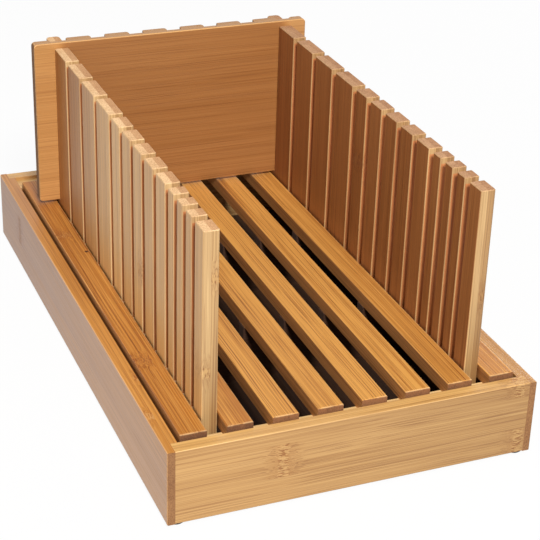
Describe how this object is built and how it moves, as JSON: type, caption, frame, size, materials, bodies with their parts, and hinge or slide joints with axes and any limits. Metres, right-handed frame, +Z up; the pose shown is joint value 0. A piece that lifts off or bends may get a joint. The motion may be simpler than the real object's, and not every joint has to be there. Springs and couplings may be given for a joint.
{
  "type": "bread slicer guide",
  "caption": "Bamboo bread slicer guide: slotted side guides and a back board stand on a slatted rack over a crumb tray.",
  "frame": {"origin": "under the middle of the tray, on the surface that its feet stand on", "axes": "+X to the right across the loaf, +Y along the loaf to the back board, +Z up"},
  "size_m": [0.209, 0.3574, 0.1567],
  "materials": {
    "wall_bamboo": "satin oiled bamboo, long horizontal strips",
    "floor_bamboo": "thin sanded bamboo panel",
    "slat_bamboo": "satin oiled bamboo, grain along the slat",
    "rail_bamboo": "sanded bamboo",
    "guide_bamboo": "satin oiled bamboo, upright grain, pale end grain on top",
    "board_bamboo": "satin oiled bamboo, horizontal strips",
    "dowel_wood": "plain turned wood",
    "foot_rubber": "matt black rubber"
  },
  "bodies": {
    "tray": {"tray_left_wall": "wall_bamboo", "tray_right_wall": "wall_bamboo", "tray_front_wall": "wall_bamboo", "tray_back_wall": "wall_bamboo", "tray_back_ledge": "wall_bamboo", "tray_floor": "floor_bamboo", "foot_front_left": "foot_rubber", "foot_front_right": "foot_rubber", "foot_back_left": "foot_rubber", "foot_back_right": "foot_rubber"},
    "rack": {"slat_1": "slat_bamboo", "slat_2": "slat_bamboo", "slat_3": "slat_bamboo", "slat_4": "slat_bamboo", "slat_5": "slat_bamboo", "slat_6": "slat_bamboo", "slat_7": "slat_bamboo", "slat_8": "slat_bamboo", "front_rail": "rail_bamboo", "front_guide_rail": "rail_bamboo", "back_guide_rail": "rail_bamboo", "back_rail": "rail_bamboo", "slat_dowels": "dowel_wood"},
    "left_guide": {"left_guide": "guide_bamboo"},
    "right_guide": {"right_guide": "guide_bamboo"},
    "back_board": {"back_board": "board_bamboo"}
  },
  "joints": [
    {"name": "rack_lift", "type": "slide", "parent": "tray", "child": "rack", "axis": [0, 0, 1], "range_m": [0, 0.042]},
    {"name": "left_guide_lift", "type": "slide", "parent": "rack", "child": "left_guide", "axis": [0, 0, 1], "range_m": [0, 0.024]},
    {"name": "right_guide_lift", "type": "slide", "parent": "rack", "child": "right_guide", "axis": [0, 0, 1], "range_m": [0, 0.024]},
    {"name": "back_board_lift", "type": "slide", "parent": "left_guide", "child": "back_board", "axis": [0, 0, 1], "range_m": [0, 0.104]}
  ],
  "couplings": [
    {"joint": "right_guide_lift", "follows": "left_guide_lift", "ratio": 1}
  ]
}
